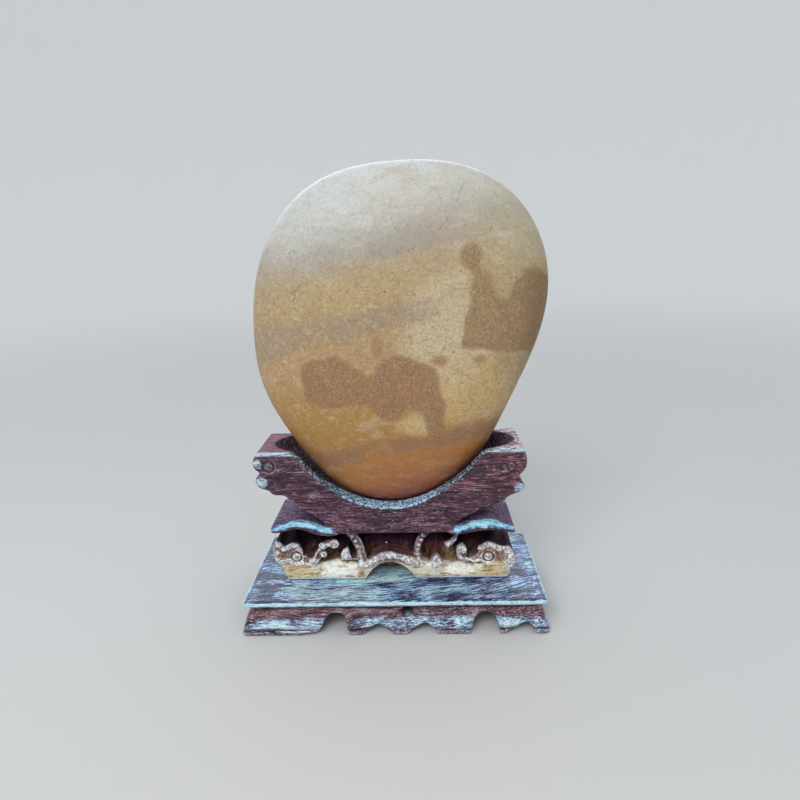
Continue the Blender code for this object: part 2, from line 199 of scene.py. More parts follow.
# --- stone's mesh ---
def stone_radius(angles):
    """The outline's distance from the stone's middle: a smooth curve through STONE_RADII."""
    waves = np.fft.rfft(STONE_RADII) / len(STONE_RADII)
    radius = np.full(len(angles), waves[0].real)
    for order, wave in enumerate(waves[1:], start=1):
        share = 1 if 2 * order == len(STONE_RADII) else 2
        radius += share * (wave * np.exp(1j * order * angles)).real
    return radius


def ball_patches(count):
    """A ball of six square patches, count quads along each side: (unit points, quads)."""
    turn = np.tan(np.linspace(-math.pi / 4, math.pi / 4, count + 1))
    across, up = np.meshgrid(turn, turn, indexing="ij")
    ones = np.ones_like(across)
    sides = (
        (ones, across, up), (-ones, up, across), (up, ones, across),
        (across, -ones, up), (across, up, ones), (up, across, -ones),
    )
    index = np.arange((count + 1) ** 2).reshape(count + 1, count + 1)
    corners = (index[:-1, :-1], index[1:, :-1], index[1:, 1:], index[:-1, 1:])
    quads = np.stack(corners, axis=-1).reshape(-1, 4)
    points, faces = [], []
    for number, side in enumerate(sides):
        grid = np.stack(side, axis=-1).reshape(-1, 3)
        points.append(grid / np.linalg.norm(grid, axis=1, keepdims=True))
        faces.append(quads + number * (count + 1) ** 2)
    return np.concatenate(points), np.concatenate(faces)


def stone_dents(points):
    """How far the water-worn surface lies inside the plain egg."""
    broad = noise_share(points, 34, 1)
    middle = noise_share(points, 11, 2)
    fine = noise_share(points, 3.4, 3)
    pits = smoothstep(lattice_noise(points, 3, 4), 0.52, 0.9)
    return STONE_DENT_DEPTH * (0.62 * broad + 0.28 * middle + 0.1 * fine) + STONE_PIT_DEPTH * pits


def make_stone():
    unit, quads = ball_patches(STONE_PATCH)
    x, y, z = unit.T
    angle = np.arctan2(z, x)
    outward = np.minimum(1, np.hypot(x, z))
    radius = stone_radius(angle)
    rise = np.sqrt(np.maximum(0, 1 - outward ** STONE_FLATNESS))
    points = np.stack([
        STONE_CENTRE_X + radius * outward * np.cos(angle),
        np.sign(y) * STONE_HALF_THICKNESS * rise,
        STONE_CENTRE_Z + radius * outward * np.sin(angle),
    ], axis=-1)
    made = add_mesh("river_cobble", (points * MM).tolist(), quads.tolist())
    bm = bmesh.new()
    bm.from_mesh(made.data)
    bmesh.ops.remove_doubles(bm, verts=bm.verts, dist=STONE_WELD * MM)
    bmesh.ops.recalc_face_normals(bm, faces=bm.faces)
    bm.to_mesh(made.data)
    bm.free()
    made.data.update()
    cut_in(made.data, stone_dents(read_points(made.data)))
    made.data.shade_smooth()
    return made


# --- wood's meshes ---
def copy_node(node, name):
    made = add_object(name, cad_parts[node].data.copy())
    made.data.materials.clear()
    return made


def modify(made, kind, **settings):
    """Applies a modifier to the object's mesh."""
    modifier = made.modifiers.new("change", kind)
    for name, value in settings.items():
        setattr(modifier, name, value)
    evaluated = made.evaluated_get(bpy.context.evaluated_depsgraph_get())
    mesh = bpy.data.meshes.new_from_object(evaluated)
    made.modifiers.clear()
    old = made.data
    made.data = mesh
    bpy.data.meshes.remove(old)


def remesh(made, voxel):
    modify(made, "REMESH", mode="VOXEL", voxel_size=voxel * MM)


def reduce_to(made, triangles):
    made.data.calc_loop_triangles()
    ratio = triangles / len(made.data.loop_triangles)
    if ratio < 1:
        modify(made, "DECIMATE", ratio=ratio)


def evened(mesh, rounds, amount=1):
    """The vertices after rounds of moving towards their neighbours' mean; amount is 0..1."""
    ends = np.empty(len(mesh.edges) * 2, dtype=np.int64)
    mesh.edges.foreach_get("vertices", ends)
    first, second = ends.reshape(-1, 2).T
    points = read_points(mesh)
    count = np.maximum(1, np.bincount(ends, minlength=len(points)))[:, None]
    share = 0.5 * np.broadcast_to(amount, len(points))[:, None]
    for _ in range(rounds):
        sums = [np.bincount(first, values[second], len(points))
                + np.bincount(second, values[first], len(points)) for values in points.T]
        points = points + share * (np.stack(sums, axis=-1) / count - points)
    return points


def soften(made, rounds, amount=1):
    write_points(made.data, evened(made.data, rounds, amount))


def store(mesh, name, values):
    layer = mesh.attributes.new(name, "FLOAT", "POINT")
    layer.data.foreach_set("value", values.astype(np.float32))


def mark_relief(mesh, rounds, reach):
    """Stores where the surface stands proud (towards 1) or lies in a hollow (towards 0)."""
    proud = np.sum((read_points(mesh) - evened(mesh, rounds)) * read_normals(mesh), axis=1)
    store(mesh, "relief", np.clip(0.5 + proud / (2 * reach), 0, 1))


def tube(bm, path, radius, sides=8):
    """A closed round tube along a path of (x, y, z); radius is one number or one per point."""
    points = [Vector(point) for point in path]
    radii = np.broadcast_to(radius, len(points))
    turns = [2 * math.pi * number / sides for number in range(sides)]
    rings = []
    for behind, point, ahead, size in zip(points[:1] + points, points, points[1:] + points[-1:], radii):
        along = (ahead - behind).normalized()
        side = along.cross(Vector((0, 1, 0)))
        side = side.normalized() if side.length > 1e-4 else Vector((1, 0, 0))
        other = along.cross(side).normalized()
        rings.append([bm.verts.new((point + (side * math.cos(turn) + other * math.sin(turn)) * size) * MM)
                      for turn in turns])
    for lower, upper in zip(rings, rings[1:]):
        for number in range(sides):
            following = (number + 1) % sides
            bm.faces.new((lower[number], lower[following], upper[following], upper[number]))
    bm.faces.new(rings[0][::-1])
    bm.faces.new(rings[-1])


def smooth_path(points, steps=5):
    """A rounded path through flat points (x, z), as a Catmull-Rom curve."""
    flat = [Vector(point) for point in points]
    padded = [flat[0] * 2 - flat[1], *flat, flat[-1] * 2 - flat[-2]]
    path = []
    for index in range(len(flat) - 1):
        a, b, c, d = padded[index:index + 4]
        for step in range(steps):
            t = step / steps
            path.append(0.5 * ((2 * b) + (c - a) * t + (2 * a - 5 * b + 4 * c - d) * t * t
                               + (3 * b - a - 3 * c + d) * t ** 3))
    path.append(flat[-1])
    return path


def ball(bm, centre, radii):
    size = Matrix.Diagonal((radii[0] * MM, radii[1] * MM, radii[2] * MM, 1))
    place = Matrix.Translation(Vector(centre) * MM) @ size
    bmesh.ops.create_icosphere(bm, subdivisions=3, radius=1, matrix=place)


def join_shapes(made, bm):
    """Adds the closed shapes in bm to the mesh; the next remesh makes them one surface."""
    bmesh.ops.recalc_face_normals(bm, faces=bm.faces)
    bm.from_mesh(made.data)
    bm.to_mesh(made.data)
    bm.free()


def carve_waist(bm, side):
    """Ridges, eyes, knobs and beads of the waist's carving, on the front (side -1) or the back (1)."""
    face = side * (WAIST_FACE_Y - 0.6)
    for path, radius in RIDGES:
        steps = smooth_path(path)
        swell = [radius * (1.05 + 0.22 * math.sin(1.1 * x + 1.7 * z) + 0.14 * math.sin(2.9 * x))
                 for x, z in steps]
        tube(bm, [(x, face, z) for x, z in steps], swell)
    turns = [2 * math.pi * step / 20 for step in range(21)]
    for x, z, radius in EYES:
        tube(bm, [(x + radius * math.cos(turn), face, z + radius * math.sin(turn)) for turn in turns], 0.55)
        ball(bm, (x, face, z), (0.7, 0.9, 0.7))
    for x, z, radius in KNOBS:
        ball(bm, (x, face, z), (radius, 0.8 + 0.45 * radius, radius))
    for x, z in STRAP_BEADS:
        ball(bm, (x, face, z), (1.15, 1.3, 1))


def front_distance(points, centre):
    """Distance from a centre (x, z), seen from the front."""
    return np.hypot(points[:, 0] - centre[0], points[:, 2] - centre[1])


def ring_groove(points, centre, radius, width):
    return np.exp(-(((front_distance(points, centre) - radius) / width) ** 2))


def near_path(points, path, width):
    """1 on a path of (x, z), falling to 0 at width from it."""
    steps = smooth_path(path)
    best = np.full(len(points), 1e9)
    for first, second in zip(steps, steps[1:]):
        along = np.array(second - first)
        offset = points[:, [0, 2]] - np.array(first)
        share = np.clip(offset @ along / max(along @ along, 1e-9), 0, 1)
        best = np.minimum(best, np.linalg.norm(offset - share[:, None] * along, axis=1))
    return smoothstep(best, width, 0.45 * width)


def pocket_wall(points):
    """How far a point lies from the wall of the pocket that the stone stands in."""
    x, y, z = points.T
    across, up = x - STONE_CENTRE_X, z - STONE_CENTRE_Z
    angle = np.arctan2(up, across)
    below = np.degrees(np.arcsin(np.clip(-np.sin(angle), -1, 1)))
    reach = HORN_REACH * np.exp(-(((below - HORN_ANGLE) / HORN_SPREAD) ** 2))
    radius = stone_radius(angle) + reach
    outward = np.hypot(across, up) / radius
    thickness = STONE_HALF_THICKNESS + POCKET_GAP
    level = (y / thickness) ** 2 + outward ** STONE_FLATNESS - 1
    slope_y = 2 * y / thickness ** 2
    slope_out = STONE_FLATNESS * outward ** (STONE_FLATNESS - 1) / radius
    return np.abs(level) / np.hypot(slope_y, slope_out)


def rim_share(points, normals):
    """1 on the dimpled rim: the cradle's top edge in front of the stone and behind it."""
    x, _, z = points.T
    level = near_path(points, RIM_PATH, 3.4) * smoothstep(z, 56, 58)
    toward_stone = normals[:, 2] - 0.45 * np.sign(x) * normals[:, 0]
    return level * smoothstep(toward_stone, 0.15, 0.55) * smoothstep(pocket_wall(points), 0.5, 1)


def slope_the_rail(points):
    """Cuts the rail's upper front edge to a slope between the carved figures."""
    x, y, z = points.T
    back = np.zeros(len(points))
    for left, right, top, bottom in RAIL_CUTS:
        inside = smoothstep(x, left - 1.5, left + 1.5) * smoothstep(x, right + 1.5, right - 1.5)
        share = np.clip((z - bottom) / (top - bottom), 0, 1)
        allowed = WAIST_FACE_Y - RAIL_CUT_DEPTH * share ** 1.4
        reached = inside * (z < top + 1.5)
        back = np.maximum(back, reached * np.maximum(0, np.abs(y) - allowed))
    return np.stack([x, y - np.sign(y) * back, z], axis=-1)


def fine_cuts(points, normals):
    """Depth of the horns' rings, the eye sockets, strokes, dimpled rim and knife marks."""
    facing = smoothstep(np.abs(normals[:, 1]), 0.55, 0.85)
    on_cradle = smoothstep(points[:, 2], WAIST_TOP + 6, WAIST_TOP + 9)
    dish = np.clip(1 - front_distance(points, RING_RIGHT) / 1.1, 0, 1)
    rings = (ring_groove(points, RING_LEFT, RING_RADIUS, 0.5)
             + 0.75 * ring_groove(points, RING_RIGHT, RING_RADIUS - 0.4, 0.5) + 0.6 * dish)
    sockets = sum(ring_groove(points, (x, z), radius + 1.1, 0.5) for x, z, radius in EYES)
    sockets += 0.8 * sum(ring_groove(points, (x, z), radius, 0.42) for x, z, radius in SPIRALS)
    strokes = noise_share(points, 1.6, 14, (1, 0.5, 0.6))
    stipple = noise_share(points, 1.25, 11)
    chip = noise_share(points, 2.6, 12, (0.35, 1, 1))
    knife = noise_share(points, 6.5, 13, (0.3, 1, 1))
    return (0.7 * facing * on_cradle * np.clip(rings, 0, 1)
            + facing * (1 - on_cradle) * (0.65 * np.clip(sockets, 0, 1) + 0.35 * strokes)
            + 0.36 * rim_share(points, normals) * smoothstep(stipple, 0.35, 0.8)
            + 0.1 * chip + 0.1 * knife)


def make_carved_block():
    made = copy_node("carved_cradle", "carved_block")
    remesh(made, CRADLE_VOXEL)
    points = slope_the_rail(read_points(made.data))
    write_points(made.data, points)
    over_waist = smoothstep(points[:, 2], WAIST_TOP + 2, WAIST_TOP + 6)
    soften(made, rounds=14, amount=1 - 0.62 * over_waist)
    bm = bmesh.new()
    for side in (-1, 1):
        carve_waist(bm, side)
        for shoulder, lift in LIP_LIFTS:
            lip = [(shoulder * x, side * LIP_Y, z + lift) for x, z in smooth_path(SHOULDER_LIP)]
            tube(bm, lip, LIP_RADIUS)
        for x, z, radius, _ in LOBES:
            ball(bm, (x, side * LOBE_Y, z), (radius, radius, radius))
    join_shapes(made, bm)
    remesh(made, CRADLE_VOXEL)
    waist = smoothstep(read_points(made.data)[:, 2], WAIST_TOP + 1.5, WAIST_TOP - 0.5)
    soften(made, rounds=7, amount=0.6 + 0.4 * waist)
    cut_in(made.data, fine_cuts(read_points(made.data), read_normals(made.data)))
    reduce_to(made, CRADLE_TRIANGLES)
    mark_relief(made.data, rounds=10, reach=0.3)
    mark_carving(made.data)
    made.data.shade_smooth()
    return made


def mark_carving(mesh):
    """Stores the ridges rubbed pale with a painted highlight, the horns' ends, lips, dimpled rim and the
    pocket's inside.
    """
    points, normals = read_points(mesh), read_normals(mesh)
    depth, height = np.abs(points[:, 1]), points[:, 2]
    front = smoothstep(depth, WAIST_FACE_Y - 3.4, WAIST_FACE_Y - 1.2) * (height < WAIST_TOP)
    rubbed_and_highlit = [near_path(points, path, 1.45 * radius) for path, radius in RIDGES]
    for x, z, radius in KNOBS:
        rubbed_and_highlit.append(0.95 * smoothstep(front_distance(points, (x, z)), radius + 0.5, 0.3))
    for x, z, radius in EYES:
        rubbed_and_highlit.append(0.75 * smoothstep(np.abs(front_distance(points, (x, z)) - radius), 0.8, 0.2))
    for bead in STRAP_BEADS:
        rubbed_and_highlit.append(0.6 * smoothstep(front_distance(points, bead), 1.5, 0.4))
    ends = [share * smoothstep(front_distance(points, (x, z)), radius + 0.5, radius - 1.5)
            for x, z, radius, share in LOBES]
    store(mesh, "pale", np.max(rubbed_and_highlit, axis=0) * front)
    store(mesh, "ends", np.max(ends, axis=0) * (0.15 + 0.85 * smoothstep(depth, 8.5, 12.5)))
    lip = near_path(np.abs(points), SHOULDER_LIP, 3.8)  # abs: the left shoulder as the right one
    lip *= smoothstep(depth, 12.2, 14.6)
    store(mesh, "lip", lip * smoothstep(normals[:, 2], -0.35, 0.25))
    store(mesh, "rim", rim_share(points, normals))
    wall = smoothstep(pocket_wall(points), 1.1, 0.6) * (height > 54)
    store(mesh, "inside", wall * smoothstep(CRADLE_FACE_Y - depth, 1.2, 2.6))


def make_base():
    made = copy_node("base", "base_block")
    remesh(made, BASE_VOXEL)
    soften(made, rounds=3)
    bm = bmesh.new()
    for side in (-1, 1):
        for ledge in LEDGES:
            tube(bm, [(x, side * LEDGE_Y, z) for x, z in smooth_path(ledge)], LEDGE_RADIUS)
    join_shapes(made, bm)
    remesh(made, BASE_VOXEL)
    soften(made, rounds=2)
    points = read_points(made.data)
    outer = smoothstep(np.max(np.abs(points[:, :2]) / BASE_HALF, axis=1), 0.9, 0.95)
    chip = noise_share(points, 2.4, 21, (0.4, 0.7, 1))
    knife = noise_share(points, 7, 22, (0.35, 0.5, 1))
    wear = smoothstep(lattice_noise(points, 4.5, 23), 0.25, 0.8)
    upright = np.abs(read_normals(made.data)[:, 2]) < 0.6
    foot_line = np.exp(-(((points[:, 2] - 2.7) / 0.8) ** 2)) * upright
    inward = outer * (0.16 * chip + 0.16 * knife + 0.22 * wear + 0.45 * foot_line) + 0.05 * chip
    cut_in(made.data, inward * smoothstep(points[:, 2], 0.1, 1.2))
    reduce_to(made, BASE_TRIANGLES)
    mark_relief(made.data, rounds=8, reach=0.35)
    made.data.shade_smooth()
    return made


# --- materials ---
# Places and sizes are in mm in the object's frame. Noise lies around 0.5, and a mask is 0 to 1.
class Wire:
    """A number on its way through a material's nodes; arithmetic on it adds Math nodes."""

    def __init__(self, paint, socket):
        self.paint = paint
        self.socket = socket

    def math(self, operation, *others):
        node = self.paint.node("Math", self, *others, operation=operation)
        return Wire(self.paint, node.outputs[0])

    def __add__(self, other):
        return self.math("ADD", other)

    def __sub__(self, other):
        return self.math("SUBTRACT", other)

    def __mul__(self, other):
        return self.math("MULTIPLY", other)

    def __abs__(self):
        return self.math("ABSOLUTE")

    def most(self, other):
        return self.math("MAXIMUM", other)

    def less(self, share=1):
        """1 where this is 0, and smaller by share where this is 1."""
        return self * -share + 1

    def step(self, low, high):
        """0 at low and under, 1 at high and over, smooth between; low may be the larger."""
        values = (self, low, high, 0, 1) if low < high else (self, high, low, 1, 0)
        node = self.paint.node("MapRange", *values, interpolation_type="SMOOTHSTEP")
        return Wire(self.paint, node.outputs[0])


class Paint:
    """A material, its colour so far, and short names for its nodes."""

    def __init__(self, name):
        self.material = bpy.data.materials.new(name)
        self.material.use_nodes = True
        self.tree = self.material.node_tree
        self.place = self.scaled(self.node("TexCoord").outputs["Object"], 1 / MM)
        self.x, self.y, self.z = self.split(self.place)
        self.colour = None

    def feed(self, target, value):
        if isinstance(value, Wire):
            value = value.socket
        if isinstance(value, bpy.types.NodeSocket):
            self.tree.links.new(value, target)
        elif isinstance(value, tuple) and len(value) == 3 and target.type == "RGBA":
            target.default_value = (*value, 1)
        else:
            target.default_value = value

    def node(self, kind, *values, **settings):
        """A new node with these settings; the values go into its first inputs."""
        made = self.tree.nodes.new("ShaderNode" + kind)
        for name, setting in settings.items():
            setattr(made, name, setting)
        for target, value in zip(made.inputs, values):
            self.feed(target, value)
        return made

    def vector(self, operation, first, second):
        return self.node("VectorMath", first, second, operation=operation).outputs["Vector"]

    def length(self, place):
        return Wire(self, self.node("VectorMath", place, operation="LENGTH").outputs["Value"])

    def scaled(self, place, factor):
        return self.vector("MULTIPLY", place, (factor, factor, factor))

    def split(self, place):
        """The three numbers of a place or a direction."""
        return tuple(Wire(self, output) for output in self.node("SeparateXYZ", place).outputs)

    def texture(self, kind, place, **values):
        node = self.node(kind, place)
        for name, value in {"Scale": 1, **values}.items():
            node.inputs[name].default_value = value
        return node

    def noise(self, size, detail=2, roughness=0.5, wide=1, tall=1, shift=0, at=None):
        """Noise; size is about that of a lump, which wide stretches along X and tall along Z."""
        scale = (1 / (size * wide), 1 / size, 1 / (size * tall))
        place = self.vector("MULTIPLY", self.place if at is None else at, scale)
        place = self.vector("ADD", place, (shift, shift * 0.7, shift * 1.3))
        node = self.texture("TexNoise", place, Detail=detail, Roughness=roughness)
        return Wire(self, node.outputs["Fac"])

    def wobble(self, size, amount, detail=2):
        """The place, pushed about by noise."""
        node = self.texture("TexNoise", self.scaled(self.place, 1 / size), Detail=detail)
        centred = self.vector("SUBTRACT", node.outputs["Color"], (0.5, 0.5, 0.5))
        return self.vector("ADD", self.place, self.scaled(centred, amount))

    def cracks(self, at, size):
        """Distance to the border of the irregular cell a place is in; a cell is about 1 wide."""
        node = self.texture("TexVoronoi", self.scaled(at, 1 / size))
        node.feature = "DISTANCE_TO_EDGE"
        return Wire(self, node.outputs["Distance"])

    def plate_edge(self):
        """How far outside the plate's edge a place is, seen from above; negative inside."""
        return (abs(self.x) - PLATE_HALF[0]).most(abs(self.y) - PLATE_HALF[1])

    def blob(self, at, centre, radii):
        """About how far outside an ellipsoid a place is; negative inside it."""
        size = self.length(self.vector("DIVIDE", self.vector("SUBTRACT", at, centre), radii))
        return (size - 1) * min(radii[0], radii[2])

    def lumps(self, at, table, blend):
        """Ellipsoids run together, from a table of (centre, half sizes)."""
        return union([self.blob(at, centre, radii) for centre, radii in table], blend)

    def mix(self, share, first, second, blend="MIX"):
        node = self.node("Mix", share, data_type="RGBA", blend_type=blend)
        self.feed(node.inputs[6], first)
        self.feed(node.inputs[7], second)
        return node.outputs[2]

    def coat(self, share, tone, blend="MIX"):
        """Lays a tone over the colour so far."""
        self.colour = self.mix(share, self.colour, tone, blend)

    def ramp(self, value, stops):
        """Colours along a value, from stops of (value, colour)."""
        low, high = stops[0][0], stops[-1][0]
        node = self.node("ValToRGB", (value - low) * (1 / (high - low)))
        marks = node.color_ramp.elements
        while len(marks) < len(stops):
            marks.new(0.5)
        for mark, (at, colour) in zip(marks, stops):
            mark.position = (at - low) / (high - low)
            mark.color = (*colour, 1)
        return node.outputs["Color"]

    def attribute(self, name):
        return Wire(self, self.node("Attribute", attribute_name=name).outputs["Fac"])

    def facing(self, axis):
        """How much the surface faces along an axis (0 for X to 2 for Z): -1 to 1."""
        return self.split(self.node("NewGeometry").outputs["Normal"])[axis]

    def bump(self, height, depth, below=None):
        """Height 0..1 turned into relief of depth mm."""
        node = self.node("Bump")
        node.inputs["Distance"].default_value = depth * MM
        self.feed(node.inputs["Height"], height)
        if below is not None:
            self.feed(node.inputs["Normal"], below)
        return node.outputs["Normal"]

    def finish(self, **values):
        """Feeds the shader and gives the material."""
        shader = self.tree.nodes["Principled BSDF"]
        for name, value in {"Base_Color": self.colour, **values}.items():
            self.feed(shader.inputs[name.replace("_", " ")], value)
        return self.material


def union(shapes, blend):
    joined = shapes[0]
    for shape in shapes[1:]:
        joined = joined.math("SMOOTH_MIN", shape, blend)
    return joined


# --- stone's material ---
# Colours up the stone's height: its layers, darker towards the bottom, with the pale blue-grey at the top
# partly a painted sheen.
STONE_LAYERS = (  # height, colour
    (60, (0.3, 0.05, 0.046)), (74, (0.45, 0.158, 0.04)), (90, (0.44, 0.2, 0.047)),
    (103, (0.43, 0.226, 0.047)), (118, (0.445, 0.247, 0.067)), (136, (0.5, 0.325, 0.162)),
    (146, (0.45, 0.3, 0.142)), (164, (0.47, 0.342, 0.172)), (174, (0.455, 0.35, 0.22)),
    (188, (0.45, 0.405, 0.34)), (202, (0.56, 0.55, 0.505)), (216, (0.62, 0.65, 0.645)),
)
# The dark figures, as lumps: (centre, half sizes).
RIGHT_BODY = (
    ((42.8, -18, 152), (7.8, 14, 21)), ((66.5, -10, 151), (14, 17, 22)),
    ((54, -16, 142.5), (21, 15, 17.5)),
)
RIGHT_HEAD = (((38.6, -18, 178.6), (4.7, 9, 6)), ((41.4, -18, 172), (2.4, 9, 3.4)))
LEFT_FIGURE = (
    ((-25, -19, 123.6), (13.6, 12, 12.6)), ((-32.4, -18, 128), (7.8, 12, 7.4)),
    ((-33, -18, 119), (6.6, 12, 7)), ((-17, -19, 122), (10, 12, 9.4)),
    ((-6, -20, 119.6), (12, 12, 7.2)), ((6.4, -20, 126.4), (12.6, 12, 10)),
    ((15, -20, 121.6), (9.4, 12, 12)), ((0.6, -20, 112.8), (8.4, 12, 7.4)),
    ((21, -19, 110), (5.4, 12, 10)), ((22.6, -19, 99), (3.8, 12, 9)),
)
BACK_FIGURES = (
    ((-20, 19, 163), (19, 14, 9)), ((2, 20, 151), (18, 14, 7)),
    ((26, 19, 146), (9, 14, 5)), ((22, 19, 113), (9, 14, 15)),
    ((6, 19, 103), (13, 14, 6)), ((-38, 14, 121), (6, 12, 9)),
)
RUST_SPOTS = (
    ((-3.8, -20, 141.1), (2.3, 8, 4.4)), ((24.2, -20, 133.4), (3.4, 8, 2.1)),
    ((42.4, -18, 132.9), (2.4, 8, 1.6)),
)


def stone_layers(paint, rock):
    """The stone's layers, its lighter patches, a painted sheen at the upper left, smoky grey upper part, dark
    bands and leathery mottling.
    """
    paint.colour = paint.ramp(rock.layer, STONE_LAYERS)
    coat = paint.coat
    right = (paint.x + (rock.drift - 0.5) * 24).step(38, 66)
    coat(right * 0.6, (0.45, 0.41, 0.265))
    gold = rock.cloud.step(0.44, 0.6) * rock.layer.step(182, 170) * rock.layer.step(152, 160)
    coat(gold * paint.x.step(30, 0) * 0.7, (0.52, 0.38, 0.185))
    soft_edged = paint.wobble(14, 9)
    cream = paint.blob(soft_edged, (29, -18, 146), (22, 22, 26)).step(6, -8)
    coat(cream * 0.7, (0.68, 0.575, 0.39))
    low_right = paint.blob(soft_edged, (36, -14, 116), (20, 22, 15)).step(7, -6)
    coat(low_right * 0.6, (0.66, 0.49, 0.24))
    haze = paint.noise(9, 3, 0.6, wide=1.6, tall=0.8, shift=61)
    coat(haze.step(0.52, 0.7) * 0.35, (0.5, 0.35, 0.19))
    coat(haze.step(0.46, 0.3) * 0.3, (0.68, 0.6, 0.45))

    # Painted sheen: the upper left paled to a cool grey-blue, as light glancing off it.
    painted_stone_sheen = paint.blob(paint.wobble(20, 9), (-30, -12, 196), (24, 40, 17))
    coat(painted_stone_sheen.step(10, -10) * 0.5, (0.56, 0.6, 0.6))
    upper = paint.z.step(172, 188) * (paint.z.step(214, 196) * 0.75 + 0.25)
    coat(rock.smoke.step(0.5, 0.66) * upper * 0.38, (0.39, 0.41, 0.4))
    coat(rock.smoke.step(0.48, 0.34) * upper * 0.24, (0.72, 0.75, 0.74))

    ragged_x = paint.x + (rock.mottle - 0.5) * 5
    upper_band = abs(rock.layer - 181.5).step(5.5, 1.5) * ragged_x.step(-34, -16)
    upper_band = upper_band * ragged_x.step(40, 16)
    half_width = paint.x * -0.05 + 4.4
    lower_band = (abs(rock.layer - 151.5) - half_width).step(2.6, -1.6) * paint.x.step(42, 6)
    bands = upper_band.most(lower_band) * rock.cloud.step(0.3, 0.5)
    coat(bands * 0.75, (0.37, 0.285, 0.2))
    grey_band = abs(rock.layer - 184).step(9, 2) * ragged_x.step(-46, -20)
    grey_band = grey_band * ragged_x.step(36, 14) * rock.drift.step(0.36, 0.54)
    coat(grey_band * 0.7, (0.39, 0.365, 0.32))
    dark_band = (abs(rock.layer - 89.5) + (rock.grain - 0.5) * 6).step(5.2, 1.8)
    coat(dark_band * rock.cloud.step(0.3, 0.48) * 0.8, (0.29, 0.148, 0.082))

    coat(rock.leather * 0.3, (0.7, 0.58, 0.38))
    pale_patch = paint.blob(paint.wobble(9, 5), (12.6, -20, 103), (9, 12, 5.4))
    coat(pale_patch.step(2, -2.5) * 0.7, (0.66, 0.5, 0.24))


def stone_figures(paint, rock):
    """The dark figures in front, the stains behind and the three rusty spots."""
    at = paint.wobble(5.5, 3.6, 3)
    at_x, _, at_z = paint.split(at)
    left_edge = at_x * -1 + at_z * 0.2 + 5.4
    lower_edge = at_z * -1 + at_x * -0.13 + 143
    figures = union([
        paint.lumps(at, RIGHT_BODY, 4).most(left_edge).most(lower_edge),
        paint.lumps(at, RIGHT_HEAD, 1.5),
        paint.lumps(at, LEFT_FIGURE, 2.5),
        paint.lumps(paint.wobble(19, 26, 5), BACK_FIGURES, 5),
    ], 0.6)
    fuzz = (rock.mottle - 0.5) * 3 + (rock.grain - 0.5) * 2.4
    spots = (paint.lumps(at, RUST_SPOTS, 0.5) + fuzz).step(1.3, -0.9)
    paint.coat(spots * 0.8, (0.4, 0.205, 0.085))
    deep = paint.mix(paint.z.step(112, 170), (0.352, 0.178, 0.086), (0.335, 0.222, 0.1))
    for share, tone in (
        (rock.mottle.step(0.42, 0.7) * 0.4, (0.25, 0.13, 0.066)),
        (rock.grain.step(0.48, 0.62) * 0.65, (0.17, 0.095, 0.052)),
        (rock.grain.step(0.46, 0.34) * 0.35, (0.5, 0.34, 0.2)),
        (rock.leather * 0.25, (0.44, 0.3, 0.17)),
    ):
        deep = paint.mix(share, deep, tone)
    paint.coat((figures + fuzz).step(0.9, -1.1) * 0.86, deep)


def stone_specks(paint, rock):
    """Painted shade on the flanks, speckles, freckles, cracks and pores; gives the pores."""
    # Painted shade: the flanks darkened where the stone curves away from the light.
    painted_flank_shade = abs(paint.x + 2).step(58, 72) * paint.z.step(182, 164)
    paint.coat(painted_flank_shade * 0.75, (0.62, 0.55, 0.45), "MULTIPLY")
    lower = paint.z.step(196, 160)
    freckles = paint.noise(1.9, 4, 0.65, shift=71).step(0.52, 0.66)
    crackle = paint.cracks(paint.wobble(3, 1.6, 3), 2.5).step(0.16, 0.02)
    hairlines = paint.cracks(paint.wobble(9, 9, 4), 24).step(0.013, 0.003)
    light_specks = paint.noise(1.1, 3, 0.6, shift=21).step(0.5, 0.72)
    pores = paint.noise(1.5, 1, 0.5, shift=33).step(0.7, 0.76)
    for share, tone in (
        (rock.grain.step(0.44, 0.66) * (lower * 0.19 + 0.21), (0.22, 0.13, 0.065)),
        (freckles * (lower * 0.2 + paint.z.step(110, 86) * 0.16 + 0.12), (0.25, 0.16, 0.085)),
        (crackle * rock.mottle.step(0.4, 0.58) * (lower * 0.16 + 0.05), (0.2, 0.12, 0.065)),
        (hairlines * rock.smoke.step(0.47, 0.55) * 0.42, (0.2, 0.15, 0.11)),
        (light_specks * 0.1, (0.8, 0.7, 0.52)),
        (pores * (lower * 0.3 + 0.25), (0.14, 0.11, 0.085)),
    ):
        paint.coat(share, tone)
    return pores


def stone_material():
    paint = Paint("river_stone")
    rock = SimpleNamespace(
        grain=paint.noise(0.75, 3, 0.6),
        mottle=paint.noise(3.2, 3, 0.6, shift=3),
        cloud=paint.noise(26, 3, 0.55, shift=7),
        drift=paint.noise(40, 2, 0.5, wide=1.6, tall=0.5, shift=12),
        smoke=paint.noise(5.5, 4, 0.65, wide=1.4, tall=0.8, shift=91),
    )
    leather = paint.noise(2.3, 2, 0.55, shift=81).step(0.5, 0.68)
    rock.leather = leather * paint.z.step(196, 160) * paint.z.step(84, 118)
    tilted = paint.z - paint.x * 0.19 + paint.y * 0.1
    rock.layer = tilted + (rock.cloud - 0.5) * 16 + (rock.mottle - 0.5) * 5
    stone_layers(paint, rock)
    stone_figures(paint, rock)
    pores = stone_specks(paint, rock)
    relief = paint.bump(paint.noise(0.9, 4, 0.62, shift=41), 0.1)
    relief = paint.bump(pores.less(), 0.1, below=relief)
    return paint.finish(Roughness=rock.mottle * 0.16 + 0.44, Specular_IOR_Level=0.42, Normal=relief)


# --- wood's materials ---
BLACK_BROWN = (0.011, 0.006, 0.006)


